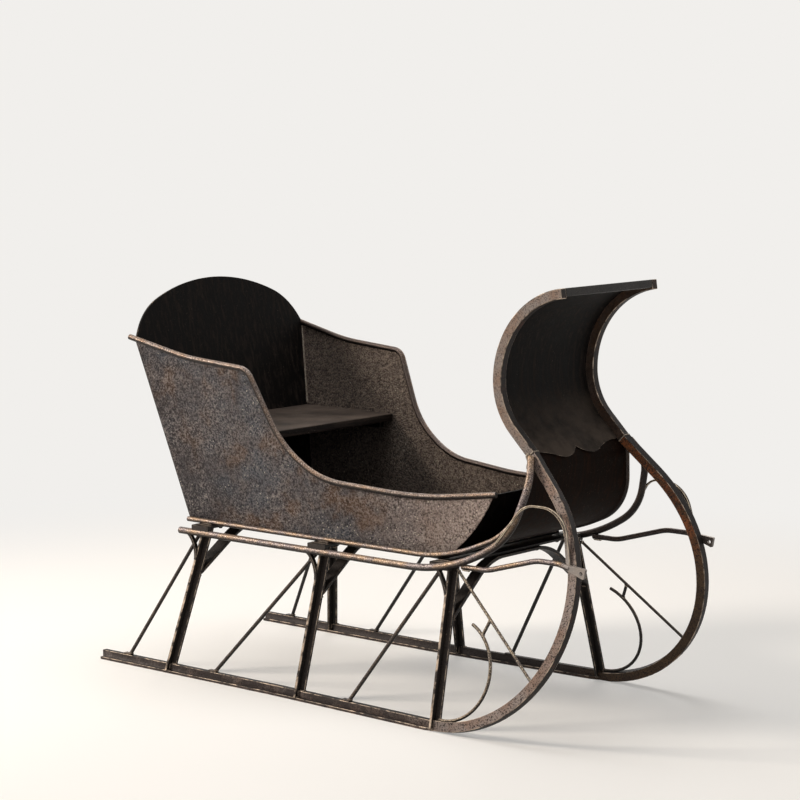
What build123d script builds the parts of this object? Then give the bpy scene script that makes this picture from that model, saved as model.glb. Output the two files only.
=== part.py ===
from build123d import *
import math
import os

os.makedirs("parts", exist_ok=True)

# Stance: gauge at the floor, toe-out of the front half, and the joint of runner and dash rail
half_gauge = 198.0
toe_bend_x = -98.0
toe_out = 0.0378
rear_tip_x = -476.0
front_tip_x = 476.5
junction_x = 344.4
junction_z = 408.0
junction_half = 115.0
lean = (half_gauge - junction_half) / junction_z

# Runner: shoe and web along the floor, then a bar swept up into the joint
bar_depth = 15.0
bar_width = 13.0
shoe_width = 20.0
shoe_thick = 4.5
web_width = 9.0
shoe_taper = 16.0
nose_lap = 1.5
nose_start_x = 238.0
nose_radius = 214.5
overrun = 12.0

# Dash rail: two arcs of an S in an upright plane
curl_low_radius = 101.5
curl_low_drop = 45.5
curl_high_radius = 133.5
curl_high_angle = 81.8

# Sheets of the tub and dash
sheet = 2.0
floor_thick = 3.0
lip_depth = 12.0
lip_angle = 4.5
hem_cusp_z = junction_z - 0.5
hem_lobe_z = junction_z - 11.5
hem_lobe_half = 32.0
hem_edge_half = 92.0

# Posts, beams and bow braces of the three bents
post_top = 237.0
flange_width = 22.0
flange_thick = 4.0
stem_width = 4.0
stem_depth = 9.0
strap_start_z = 184.0
strap_width = 7.0
strap_thick = 4.5
beam_width = 36.0
beam_thick = 4.0
saddle_width = 8.0
saddle_drop = 7.0
bow_depth = 5.5
bow_width = 20.0
bow_bend = 98.0
bow_corner_half = 74.5
bow_foot_half = 172.0
bow_foot_z = 158.5

# Sill rods: the upper one edges the floor and the lower dash sheet
upper_rod = 8.0
upper_half_base = 152.5
upper_lean = 0.228
lower_rod = 11.0
lower_z = 228.5
lower_spread = 17.0
lower_lead = 50.0
beam_top = post_top + beam_thick
upper_z = beam_top + upper_rod / 2

# Stays and scrolls
stay_rod = 6.0
front_stay_rod = 4.5
lug_length = 16.0
lug_width = 8.0
lug_thick = 2.5
scroll_rod = 5.0
scroll_radius = 76.0
scroll_x = 250.0
scroll_bite = 0.6

# Shaft irons and fender loops
iron_bite = 2.7
iron_rod = 8.0
eye_x = 469.0
eye_z = 255.5
eye_hole = 5.5
eye_thick = 5.0
eye_corner = 1.8
loop_width = 4.5

# Tub: half widths along its length at the base and at the block top
tub_base = beam_top + floor_thick
tub_block_top = 660.0
waist_x = -25.0
waist_base_radius = 900.0
waist_top_radius = 366.0
back_lean = 0.245
back_foot_x = -322.0
back_foot_z = 249.0
back_thick = 3.0
back_crown_z = 623.5
crown_foot_z = 532.0
crown_knee_inset = 20.5
crown_knee_z = 568.4
crown_shoulder_inset = 58.0
crown_shoulder_z = 595.0
rim_rod = 9.0
rim_lead = 3.5
nose_edge_radius = 209.0

# Seat pan on two cleats
seat_top = 398.0
seat_drop = 12.0
seat_front_x = -160.0
cleat_width = 10.0
cleat_drop = 12.0
cleat_rear_x = -345.0
cleat_front_x = -178.0


def hand_in(builder, name):
    builder.part.label = name
    export_step(builder.part, f"parts/{name}.step")


def hand_in_pair(builder, name):
    hand_in(builder, name + "_left")
    with BuildPart() as twin:
        mirror(builder.part, about=Plane.XZ)
    hand_in(twin, name + "_right")


# Half width of the posts' plane at a height
def gear_half(z):
    return half_gauge - lean * z


# Half gauge on the floor: straight at the rear, splayed from the toe bend on
def toe_half(x):
    return half_gauge + toe_out * max(0, x - toe_bend_x)


def upper_half(z):
    return upper_half_base - upper_lean * (z - upper_z)


# A round rod along straight runs with rounded corners
def bent_rod(points, radii, diameter):
    with BuildPart() as rod:
        with BuildLine() as path:
            if radii:
                FilletPolyline(*points, radius=radii)
            else:
                Line(*points)
        with BuildSketch(Plane(origin=path.line @ 0, z_dir=path.line % 0)):
            Circle(diameter / 2)
        sweep(path=path.line)
    return rod.part


# The swept bars lean inward and toe out in a flat plane, x along and y up the plane
nose_lean = (toe_half(junction_x) - junction_half) / junction_z
nose_plane = Plane(
    origin=(0, half_gauge - toe_out * toe_bend_x, 0),
    x_dir=(1, toe_out, 0),
    z_dir=(toe_out, -1, -nose_lean),
)
joint_plane = Plane(
    origin=(junction_x, junction_half, junction_z), x_dir=(0, 1, 0), z_dir=(-1, 0, 1)
)


# Half width of the straight runner's middle line
def run_half(x):
    return toe_half(x) - nose_lean * bar_depth / 2


# Runner
joint_along, joint_up, _ = nose_plane.to_local_coords(Vector(junction_x, junction_half, junction_z))
nose_level = nose_radius + bar_depth / 2
nose_front = nose_start_x + nose_radius
turn_radius = (joint_along + joint_up - nose_front - nose_level) / (math.sqrt(2) - 1)
turn_along = nose_front - turn_radius
turn_end = (turn_along + turn_radius / math.sqrt(2), nose_level + turn_radius / math.sqrt(2))
straight_run = math.dist(turn_end, (joint_along, joint_up))

shoe_stations = [
    (rear_tip_x, shoe_width / 2),
    (toe_bend_x, shoe_width / 2),
    (nose_start_x - shoe_taper, shoe_width / 2),
    (nose_start_x + nose_lap, bar_width / 2 - nose_lap / 2),
]
web_stations = [(x, web_width / 2) for x, half in shoe_stations]


# Outline in plan about the runner's middle line, from pairs of x and half width
def along_runner(stations):
    inner = [(x, run_half(x) - half) for x, half in stations]
    outer = [(x, run_half(x) + half) for x, half in reversed(stations)]
    Polyline(*inner, *outer, close=True)


with BuildPart() as runner:
    with BuildSketch(nose_plane):
        with BuildLine():
            CenterArc((nose_start_x, nose_level), nose_radius, -90, 90)
            CenterArc((turn_along, nose_level), turn_radius, 0, 45)
            PolarLine(turn_end, straight_run + overrun, 135)
        trace(line_width=bar_depth)
    extrude(amount=bar_width / 2, both=True)
    split(bisect_by=joint_plane, keep=Keep.BOTTOM)
    for stations, height in ((shoe_stations, shoe_thick), (web_stations, bar_depth)):
        with BuildSketch(Plane.XY):
            with BuildLine():
                along_runner(stations)
            make_face()
        extrude(amount=height)
    split(bisect_by=Plane.XY, keep=Keep.TOP)
hand_in_pair(runner, "runner")

# Dash rail: straight out of the joint, then back, then forward to the tip
low_x = junction_x - curl_low_drop / math.sqrt(2) + curl_low_radius / math.sqrt(2)
low_z = junction_z + curl_low_drop / math.sqrt(2) + curl_low_radius / math.sqrt(2)
curl_rear_x = low_x - curl_low_radius
high_x = curl_rear_x + curl_high_radius


# The S of the dash, moved off the rail's middle and stopped short of the tip
def dash_curve(offset, stop, start):
    step = offset / math.sqrt(2)
    leave = (junction_x - start / math.sqrt(2) - step, junction_z + start / math.sqrt(2) - step)
    reach = (curl_low_radius + offset) / math.sqrt(2)
    Line(leave, (low_x - reach, low_z - reach))
    CenterArc((low_x, low_z), curl_low_radius + offset, 225, -45)
    CenterArc((high_x, low_z), curl_high_radius + offset, 180, -(curl_high_angle - stop))


rail_plane = Plane.XZ.offset(-junction_half)
with BuildPart() as dash_rail:
    with BuildSketch(rail_plane):
        with BuildLine():
            dash_curve(0, 0, -overrun)
        trace(line_width=bar_depth)
    extrude(amount=bar_width / 2, both=True)
    split(bisect_by=joint_plane, keep=Keep.TOP)
hand_in_pair(dash_rail, "dash_rail")

# Upper dash sheet, flush with the rear edge of the rails, with a waved lower hem
dash_half = junction_half - bar_width / 2
dash_offset = bar_depth / 2 - sheet / 2
with BuildPart() as dash_sheet:
    with BuildSketch(Plane.XZ):
        with BuildLine():
            dash_curve(dash_offset, lip_angle, -3 * overrun)
        trace(line_width=sheet)
    extrude(amount=dash_half, both=True)
    with BuildSketch(Plane.YZ):
        with BuildLine() as hem:
            right_lobe = ThreePointArc(
                (0, hem_cusp_z), (hem_lobe_half, hem_lobe_z), (1.62 * hem_lobe_half, hem_lobe_z + 3)
            )
            edge_arc = TangentArc(right_lobe @ 1, (hem_edge_half, hem_cusp_z), tangent=right_lobe % 1)
            edge_run = Line(edge_arc @ 1, (dash_half + overrun, hem_cusp_z))
            Polyline(edge_run @ 1, (dash_half + overrun, 2 * junction_z), (0, 2 * junction_z), (0, hem_cusp_z))
        make_face()
        mirror(about=Plane.YZ)
    extrude(amount=front_tip_x, mode=Mode.INTERSECT)
hand_in(dash_sheet, "dash_sheet")

with BuildPart() as dash_lip:
    with BuildSketch(Plane.XZ):
        with BuildLine():
            CenterArc(
                (high_x, low_z),
                curl_high_radius + bar_depth / 2 - lip_depth / 2,
                180 - curl_high_angle,
                lip_angle,
            )
        trace(line_width=lip_depth)
    extrude(amount=dash_half, both=True)
hand_in(dash_lip, "dash_lip")

# Sill rods
sill_path = [(-321.5, upper_z), (214.0, upper_z), (334.0, 296.0), (348.6, junction_z - 5)]
sill_radii = [275.0, 95.0]
sill_points = [(x, upper_half(z), z) for x, z in sill_path]
with BuildPart() as sill_upper:
    add(bent_rod(sill_points, sill_radii, upper_rod))
    add(runner.part, mode=Mode.SUBTRACT)
hand_in_pair(sill_upper, "sill_upper")

# Lower rod: x, distance outside the running gear, z, bend radius
lower_stations = [
    (-324.0, lower_spread, lower_z, None),
    (236.0, lower_spread, lower_z, 290.0),
    (340.0, 25.2, 291.0, 95.0),
    (364.0, 25.1, junction_z - 34, 60.0),
    (348.5, 9.4, junction_z - 3, None),
]
lower_points = [(x, gear_half(z) + spread, z) for x, spread, z, bend in lower_stations]
lower_bends = [bend for x, spread, z, bend in lower_stations if bend]
with BuildPart() as sill_lower:
    add(bent_rod(lower_points, lower_bends, lower_rod))
    add(runner.part, mode=Mode.SUBTRACT)
    add(dash_rail.part, mode=Mode.SUBTRACT)
hand_in_pair(sill_lower, "sill_lower")

# Bents: name, foot x, top x, beam middle x, beam half length, knee strap head x and z
bents = [
    ("rear", -320.0, -277.0, -277.0, 172.0, -304.0, 226.0),
    ("mid", -38.0, -24.0, -27.0, 172.0, -46.0, 226.0),
    ("front", 240.0, 228.0, 213.0, 168.5, 212.0, 231.0),
]
post_rise = post_top - shoe_thick
strap_half = gear_half(lower_z) + lower_spread
posts = {}
for name, foot_x, top_x, beam_x, beam_half, strap_x, strap_z in bents:
    bent_plane = Plane(
        origin=(top_x, 0, post_top), x_dir=(0, 1, 0), z_dir=(post_rise, 0, foot_x - top_x)
    )
    stretch = math.hypot(top_x - foot_x, post_rise) / post_rise
    under = (0 - post_top) * stretch
    over = overrun
    top_half = gear_half(post_top + overrun / stretch)
    foot_half = toe_half(foot_x)
    strap_start_x = foot_x + (top_x - foot_x) * (strap_start_z - shoe_thick) / post_rise
    with BuildPart() as post:
        for half_width, thick in ((flange_width / 2, -flange_thick), (stem_width / 2, stem_depth)):
            with BuildSketch(bent_plane):
                with BuildLine():
                    Polyline(
                        (foot_half - half_width, under),
                        (foot_half + half_width, under),
                        (top_half + half_width, over),
                        (top_half - half_width, over),
                        close=True,
                    )
                make_face()
            extrude(amount=thick)
        with BuildSketch(Plane.XZ.offset(-strap_half)):
            with BuildLine():
                TangentArc(
                    (strap_start_x - strap_thick / 2, strap_start_z),
                    (strap_x, strap_z),
                    tangent=(top_x - foot_x, post_rise),
                )
            trace(line_width=strap_thick)
        extrude(amount=strap_width / 2, both=True)
        split(bisect_by=Plane.XY.offset(post_top), keep=Keep.BOTTOM)
        split(bisect_by=Plane.XY.offset(shoe_thick), keep=Keep.TOP)
        add(runner.part, mode=Mode.SUBTRACT)
        add(sill_lower.part, mode=Mode.SUBTRACT)
    posts[name] = post.part
    hand_in_pair(post, f"post_{name}")

    # Flat beam whose ends saddle the lower rods
    with BuildPart() as beam:
        with BuildSketch(Plane.XY.offset(post_top)):
            with Locations((beam_x, beam_half / 2)):
                Rectangle(beam_width, beam_half)
        extrude(amount=beam_thick)
        with BuildSketch(Plane.XY.offset(post_top)):
            with Locations((beam_x, beam_half - saddle_width / 2)):
                Rectangle(beam_width, saddle_width)
        extrude(amount=-saddle_drop)
        add(sill_lower.part, mode=Mode.SUBTRACT)
        add(post.part, mode=Mode.SUBTRACT)
        mirror(about=Plane.XZ)
    hand_in(beam, f"cross_beam_{name}")

    # Flat bow strap: level under the beam, then down to the stems of both posts
    bow_path = [
        (-bow_foot_half, (bow_foot_z - post_top) * stretch),
        (-bow_corner_half, 0.8 - bow_depth / 2),
        (bow_corner_half, 0.8 - bow_depth / 2),
        (bow_foot_half, (bow_foot_z - post_top) * stretch),
    ]
    with BuildPart() as bow:
        with BuildSketch(bent_plane):
            with BuildLine():
                FilletPolyline(*bow_path, radius=bow_bend)
            trace(line_width=bow_depth)
            with BuildLine():
                Polyline(
                    (foot_half - stem_width / 2, under),
                    (top_half - stem_width / 2, over),
                    (stem_width / 2 - top_half, over),
                    (stem_width / 2 - foot_half, under),
                    close=True,
                )
            make_face(mode=Mode.INTERSECT)
        extrude(amount=bow_width / 2, both=True)
        split(bisect_by=Plane.XY.offset(post_top), keep=Keep.BOTTOM)
        add(post.part, mode=Mode.SUBTRACT)
        add(mirror(post.part, about=Plane.XZ, mode=Mode.PRIVATE), mode=Mode.SUBTRACT)
    hand_in(bow, f"bow_brace_{name}")

# Straight stays behind the posts: name, foot x, head x under the beam, post it leans on
stays = [
    ("rear", -415.0, -287.5, "rear"),
    ("second", -222.0, -29.2, "mid"),
    ("third", 66.0, 210.4, "front"),
]
for name, foot_x, head_x, post_name in stays:
    foot = Vector(foot_x, run_half(foot_x), bar_depth)
    run = Vector(head_x, gear_half(post_top), post_top) - foot
    low = foot - run * (lug_thick / run.Z)
    high = foot + run * (1 + overrun / run.Z)
    with BuildPart() as stay:
        add(bent_rod([low, high], None, stay_rod))
        with Locations((foot_x - lug_length / 4, run_half(foot_x), bar_depth + lug_thick / 2)):
            Box(lug_length, lug_width, lug_thick)
        split(bisect_by=Plane.XY.offset(post_top), keep=Keep.BOTTOM)
        add(runner.part, mode=Mode.SUBTRACT)
        add(posts[post_name], mode=Mode.SUBTRACT)
    hand_in_pair(stay, f"stay_{name}")

# Front stay in the nose plane, from the front post down to the swept bar
front_stay_turn = math.radians(37.3)
front_stay_foot = (
    nose_start_x + nose_radius * math.cos(front_stay_turn),
    nose_level - nose_radius * math.sin(front_stay_turn),
)
front_stay_head = (235.5, 238.0)
with BuildPart() as stay_front:
    with BuildLine(nose_plane) as drop:
        Line(front_stay_foot, front_stay_head)
    with BuildSketch(Plane(origin=drop.line @ 0, z_dir=drop.line % 0)):
        Circle(front_stay_rod / 2)
    sweep(path=drop.line)
    add(runner.part, mode=Mode.SUBTRACT)
    add(posts["front"], mode=Mode.SUBTRACT)
hand_in_pair(stay_front, "stay_front")

# Scroll rod curling up off the swept bar, with a short link to the front stay
scroll_level = bar_depth + scroll_rod / 2 - scroll_bite + scroll_radius
link_angle = 48.0
link_start = (
    scroll_x + scroll_radius * math.cos(math.radians(link_angle)),
    scroll_level + scroll_radius * math.sin(math.radians(link_angle)),
)
link_end_x = 311.5
stay_slope = (front_stay_head[1] - front_stay_foot[1]) / (front_stay_head[0] - front_stay_foot[0])
link_end = (link_end_x, front_stay_foot[1] + stay_slope * (link_end_x - front_stay_foot[0]))
with BuildPart() as scroll:
    with BuildLine(nose_plane) as curl:
        CenterArc((scroll_x, scroll_level), scroll_radius, -92, 159)
    with BuildSketch(Plane(origin=curl.line @ 0, z_dir=curl.line % 0)):
        Circle(scroll_rod / 2)
    sweep(path=curl.line)
    with BuildLine(nose_plane) as link:
        Line(link_start, link_end)
    with BuildSketch(Plane(origin=link.line @ 0, z_dir=link.line % 0)):
        Circle(scroll_rod / 2)
    sweep(path=link.line)
    add(stay_front.part, mode=Mode.SUBTRACT)
    add(runner.part, mode=Mode.SUBTRACT)
    add(posts["front"], mode=Mode.SUBTRACT)
hand_in_pair(scroll, "scroll")

# Shaft iron: rod from the lower rod, let into the swept bar's side, ending in a fish-tail eye
bar_side = toe_half(eye_x) - nose_lean * eye_z + bar_width / 2
iron_half = bar_side + iron_rod / 2 - iron_bite
iron_stations = [
    (254.0, 239.0, None),
    (300.0, 239.0, 80.0),
    (390.0, 264.5, 80.0),
    (428.0, 264.5, 40.0),
    (447.0, 260.3, None),
]
iron_points = [(x, iron_half, z) for x, z, bend in iron_stations]
iron_bends = [bend for x, z, bend in iron_stations if bend]
fish_tail = [(439.0, 265.6), (front_tip_x, 262.5), (front_tip_x - 3, 247.0), (439.0, 258.9)]
with BuildPart() as shaft_iron:
    add(bent_rod(iron_points, iron_bends, iron_rod))
    with BuildSketch(Plane.XZ.offset(-iron_half)) as tail:
        with BuildLine():
            Polyline(*fish_tail, close=True)
        make_face()
        fillet(tail.vertices().sort_by(Axis.X)[-2:], eye_corner)
        with Locations((eye_x, eye_z)):
            Circle(eye_hole / 2, mode=Mode.SUBTRACT)
    extrude(amount=eye_thick / 2, both=True)
    add(runner.part, mode=Mode.SUBTRACT)
    add(sill_lower.part, mode=Mode.SUBTRACT)
hand_in_pair(shaft_iron, "shaft_iron")

# Fender loop: strap on the lower rod's side, arched over to a wider leg on the shaft iron
loop_outer = [(-5.2, -9.8), (36.8, 48.9), (105.2, 48.9), (122.2, -32.0)]
loop_inner = [(-2.8, -11.6), (38.3, 45.9), (101.8, 45.9), (115.2, -32.0)]
loop_x = 326.0
loop_z = 294.0
loop_plane = Plane(
    origin=(loop_x, gear_half(loop_z) + 30.8, loop_z), x_dir=(1, -0.09, 0), z_dir=(-0.09, -1, -0.125)
)
with BuildPart() as fender_loop:
    with BuildSketch(loop_plane):
        with BuildLine():
            outer = FilletPolyline(*loop_outer, radius=[33.0, 46.0])
            inner = FilletPolyline(*loop_inner, radius=[31.5, 44.0])
            Line(outer @ 0, inner @ 0)
            Line(outer @ 1, inner @ 1)
        make_face()
    extrude(amount=loop_width / 2, both=True)
    add(sill_lower.part, mode=Mode.SUBTRACT)
    add(runner.part, mode=Mode.SUBTRACT)
    add(shaft_iron.part, mode=Mode.SUBTRACT)
hand_in_pair(fender_loop, "fender_loop")

# Tub stations: x, half width at the base, half width at the block top
tub_stations = [(-440.0, 148.5, 221.6), (waist_x, 148.5, 205.8), (285.0, 123.3, 86.7)]


# Half width of the warped tub side
def tub_half(x, z):
    rise = (z - tub_base) / (tub_block_top - tub_base)
    halves = [(at, base + (top - base) * rise) for at, base, top in tub_stations]
    span = halves[:2] if x <= waist_x else halves[1:]
    (x0, h0), (x1, h1) = span
    return h0 + (h1 - h0) * (x - x0) / (x1 - x0)


# Solid that fills the tub, its sides moved inward by a sheet or more
def tub_block(inset):
    with BuildPart() as block:
        for height, column, soft in (
            (tub_base, 1, waist_base_radius),
            (tub_block_top, 2, waist_top_radius),
        ):
            left = [(row[0], row[column] - inset) for row in tub_stations]
            right = [(x, -y) for x, y in reversed(left)]
            with BuildSketch(Plane.XY.offset(height)) as outline:
                with BuildLine():
                    Polyline(*left, *right, close=True)
                make_face()
                waist = [v for v in outline.vertices() if abs(v.X - waist_x) < 1]
                fillet(waist, soft)
        loft(ruled=True)
    return block.part


tub_outer = tub_block(0)
tub_inner = tub_block(sheet)

# Rim rods along the tub's top edge: x, z, corner radius
rim_stations = [
    (-404.0, 538.5, None),
    (-285.0, 512.0, 400.0),
    (-157.0, 502.0, 24.0),
    (-103.0, 388.0, 155.0),
    (-30.0, 338.5, 150.0),
    (150.0, 325.5, 650.0),
    (277.5, 341.4, None),
]
rim_radii = [radius for x, z, radius in rim_stations if radius]
rim_points = [(x, tub_half(x, z) - sheet / 2, z) for x, z, radius in rim_stations]
with BuildPart() as rim:
    add(bent_rod(rim_points, rim_radii, rim_rod))
hand_in_pair(rim, "rim")

# Arc of the sides' front edge, which the toe board follows
(brow_x, brow_z), (tip_x, tip_z) = rim_stations[-2][:2], rim_stations[-1][:2]
nose_foot = (200.0, tub_base)
nose_head = (tip_x - rim_lead, tip_z - rim_lead * (tip_z - brow_z) / (tip_x - brow_x))
nose_chord = math.dist(nose_foot, nose_head)
nose_reach = math.sqrt(nose_edge_radius**2 - (nose_chord / 2) ** 2) / nose_chord
nose_middle = (
    (nose_foot[0] + nose_head[0]) / 2 - (nose_head[1] - nose_foot[1]) * nose_reach,
    (nose_foot[1] + nose_head[1]) / 2 + (nose_head[0] - nose_foot[0]) * nose_reach,
)
nose_start = math.degrees(math.atan2(nose_foot[1] - nose_middle[1], nose_foot[0] - nose_middle[0]))
nose_end = math.degrees(math.atan2(nose_head[1] - nose_middle[1], nose_head[0] - nose_middle[0]))

# The back panel leans; its plane passes through its rear face
back_plane = Plane(origin=(back_foot_x, 0, back_foot_z), x_dir=(0, 1, 0), z_dir=(1, 0, back_lean))
back_stretch = math.hypot(1, back_lean)


def up_back(half, z):
    return (half, (z - back_foot_z) * back_stretch)


# Lower dash sheet: edged by the upper rods, lapped behind the upper sheet
lap_sum = junction_x + junction_z - (bar_depth / 2 + sheet / 2) * math.sqrt(2)
lap_low_z = junction_z - 15
lap_high_z = junction_z + 15
lap_bend = 25.0
lower_start_x = 200.0
with BuildPart() as dash_lower_sheet:
    with BuildSketch(Plane.XZ):
        with BuildLine():
            FilletPolyline(
                (0, upper_z),
                sill_path[1],
                sill_path[2],
                (lap_sum - lap_low_z, lap_low_z),
                (lap_sum - lap_high_z, lap_high_z),
                radius=[*sill_radii, lap_bend],
            )
        trace(line_width=sheet)
        with Locations((lower_start_x / 2 - lower_lead, upper_z)):
            Rectangle(lower_start_x + 2 * lower_lead, 4 * sheet, mode=Mode.SUBTRACT)
    extrude(amount=2 * half_gauge, both=True)
    with BuildSketch(Plane.YZ):
        with BuildLine():
            Polyline(
                (upper_half(upper_z - 50), upper_z - 50),
                (upper_half(2 * junction_z), 2 * junction_z),
                (-upper_half(2 * junction_z), 2 * junction_z),
                (-upper_half(upper_z - 50), upper_z - 50),
                close=True,
            )
        make_face()
    extrude(amount=front_tip_x, mode=Mode.INTERSECT)
    add(sill_upper.part, mode=Mode.SUBTRACT)
    add(mirror(sill_upper.part, about=Plane.XZ, mode=Mode.PRIVATE), mode=Mode.SUBTRACT)
    add(runner.part, mode=Mode.SUBTRACT)
    add(mirror(runner.part, about=Plane.XZ, mode=Mode.PRIVATE), mode=Mode.SUBTRACT)
hand_in(dash_lower_sheet, "dash_lower_sheet")

# Tub side sheets
with BuildPart() as side:
    with BuildSketch(Plane.XZ):
        with BuildLine():
            FilletPolyline(*[(x, z) for x, z, radius in rim_stations[:-1]], nose_head, radius=rim_radii)
            CenterArc(nose_middle, nose_edge_radius, nose_start, nose_end - nose_start)
            Polyline(
                nose_foot,
                (rear_tip_x, tub_base),
                (rear_tip_x, rim_stations[0][1]),
                (rim_stations[0][0], rim_stations[0][1]),
            )
        make_face()
    extrude(amount=-2 * half_gauge)
    add(tub_outer, mode=Mode.INTERSECT)
    add(tub_inner, mode=Mode.SUBTRACT)
    split(bisect_by=back_plane, keep=Keep.TOP)
    add(rim.part, mode=Mode.SUBTRACT)
    add(dash_lower_sheet.part, mode=Mode.SUBTRACT)
hand_in_pair(side, "side")

# Back panel with its arched crown
shoulder_half = tub_half(-394.0, crown_foot_z + 4) - sheet
with BuildPart() as back_panel:
    with BuildSketch(back_plane):
        with BuildLine():
            shoulder = ThreePointArc(
                up_back(shoulder_half + 2, crown_foot_z),
                up_back(shoulder_half - crown_knee_inset, crown_knee_z),
                up_back(shoulder_half - crown_shoulder_inset, crown_shoulder_z),
            )
            crown = ThreePointArc(
                shoulder @ 1,
                up_back(0, back_crown_z),
                up_back(crown_shoulder_inset - shoulder_half, crown_shoulder_z),
            )
            ThreePointArc(
                crown @ 1,
                up_back(crown_knee_inset - shoulder_half, crown_knee_z),
                up_back(-shoulder_half - 2, crown_foot_z),
            )
            Polyline(
                up_back(-shoulder_half - 2, crown_foot_z),
                up_back(-half_gauge - 20, crown_foot_z),
                up_back(-half_gauge - 20, tub_base - 20),
                up_back(half_gauge + 20, tub_base - 20),
                up_back(half_gauge + 20, crown_foot_z),
                shoulder @ 0,
            )
        make_face()
    extrude(amount=back_thick)
    add(tub_inner, mode=Mode.INTERSECT)
    add(rim.part, mode=Mode.SUBTRACT)
    add(mirror(rim.part, about=Plane.XZ, mode=Mode.PRIVATE), mode=Mode.SUBTRACT)
hand_in(back_panel, "back_panel")

# Floor sheet between the upper rods
floor_rear_x = back_foot_x - back_lean * (tub_base - back_foot_z)
floor_half = upper_half_base - upper_rod / 2
with BuildPart() as tub_floor:
    with BuildSketch(Plane.XY.offset(beam_top)):
        with Locations(((floor_rear_x + lower_start_x) / 2, 0)):
            Rectangle(lower_start_x - floor_rear_x, 2 * floor_half)
    extrude(amount=floor_thick)
hand_in(tub_floor, "tub_floor")

# Toe board curved on the sides' front edge
toe_foot_z = 249.4
toe_start = -math.degrees(math.asin((nose_middle[1] - toe_foot_z) / (nose_edge_radius - sheet / 2)))
with BuildPart() as toe_board:
    with BuildSketch(Plane.XZ):
        with BuildLine():
            CenterArc(nose_middle, nose_edge_radius - sheet / 2, toe_start, nose_end - toe_start)
        trace(line_width=sheet)
    extrude(amount=half_gauge, both=True)
    add(tub_inner, mode=Mode.INTERSECT)
    add(dash_lower_sheet.part, mode=Mode.SUBTRACT)
    add(rim.part, mode=Mode.SUBTRACT)
    add(mirror(rim.part, about=Plane.XZ, mode=Mode.PRIVATE), mode=Mode.SUBTRACT)
hand_in(toe_board, "toe_board")

# Seat pan: folded sheet with lips turned down at the front and sides
with BuildPart() as seat_pan:
    with BuildSketch(Plane.XY.offset(seat_top)):
        with Locations(((rear_tip_x + seat_front_x) / 2, 0)):
            Rectangle(seat_front_x - rear_tip_x, 2 * half_gauge)
    extrude(amount=-seat_drop)
    add(tub_inner, mode=Mode.INTERSECT)
    split(bisect_by=back_plane.offset(back_thick), keep=Keep.TOP)
    with BuildSketch(Plane.XY.offset(seat_top - sheet)):
        with BuildLine():
            pocket = [
                (rear_tip_x, tub_half(-358.0, seat_top) - 3 * sheet),
                (seat_front_x - sheet, tub_half(seat_front_x, seat_top) - 3 * sheet),
            ]
            Polyline(*pocket, *[(x, -y) for x, y in reversed(pocket)], close=True)
        make_face()
    extrude(amount=-seat_drop, mode=Mode.SUBTRACT)
hand_in(seat_pan, "seat_pan")

# Cleats on the sides, under the seat's lips
cleat_top = seat_top - seat_drop
with BuildPart() as seat_cleat:
    with BuildSketch(Plane.XY.offset(cleat_top)):
        with Locations(((cleat_rear_x + cleat_front_x) / 2, half_gauge / 2)):
            Rectangle(cleat_front_x - cleat_rear_x, half_gauge)
    extrude(amount=-cleat_drop)
    add(tub_inner, mode=Mode.INTERSECT)
    add(tub_block(sheet + cleat_width), mode=Mode.SUBTRACT)
    split(bisect_by=back_plane.offset(back_thick), keep=Keep.TOP)
hand_in_pair(seat_cleat, "seat_cleat")
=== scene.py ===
import math
import random

import bmesh
import bpy
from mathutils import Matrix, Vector


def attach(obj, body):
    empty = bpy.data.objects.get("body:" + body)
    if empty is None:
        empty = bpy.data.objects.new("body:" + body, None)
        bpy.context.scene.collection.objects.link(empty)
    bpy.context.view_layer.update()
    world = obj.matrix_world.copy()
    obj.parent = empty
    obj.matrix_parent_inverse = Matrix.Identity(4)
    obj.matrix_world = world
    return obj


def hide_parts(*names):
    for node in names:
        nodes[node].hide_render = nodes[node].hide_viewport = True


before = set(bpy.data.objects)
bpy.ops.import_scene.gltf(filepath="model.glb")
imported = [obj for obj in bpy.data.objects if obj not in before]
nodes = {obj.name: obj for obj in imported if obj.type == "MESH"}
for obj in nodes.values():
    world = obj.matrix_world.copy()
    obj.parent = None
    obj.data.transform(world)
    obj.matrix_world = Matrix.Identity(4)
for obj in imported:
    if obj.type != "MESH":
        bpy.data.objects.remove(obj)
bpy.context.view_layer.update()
print("frame loaded,", len(nodes), "nodes")


# Camera: worked out from left and right pairs of points on the sleigh
cameraSettings = {
    "place": (2.45931, -2.93661, 0.92159),
    "tiltDegrees": 82.97,
    "turnDegrees": 39.98,
    "lensMm": 110.63,
    "sensorMm": 36,
    "clipStartM": 0.05,
    "clipEndM": 60,
}


def addCamera(settings):
    lens = bpy.data.cameras.new("camera")
    lens.lens = settings["lensMm"]
    lens.sensor_width = settings["sensorMm"]
    lens.clip_start = settings["clipStartM"]
    lens.clip_end = settings["clipEndM"]
    tilt = math.radians(settings["tiltDegrees"])
    turn = math.radians(settings["turnDegrees"])
    camera = bpy.data.objects.new("camera", lens)
    camera.location = settings["place"]
    camera.rotation_euler = (tilt, 0, turn)
    bpy.context.scene.collection.objects.link(camera)
    bpy.context.scene.camera = camera


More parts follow.
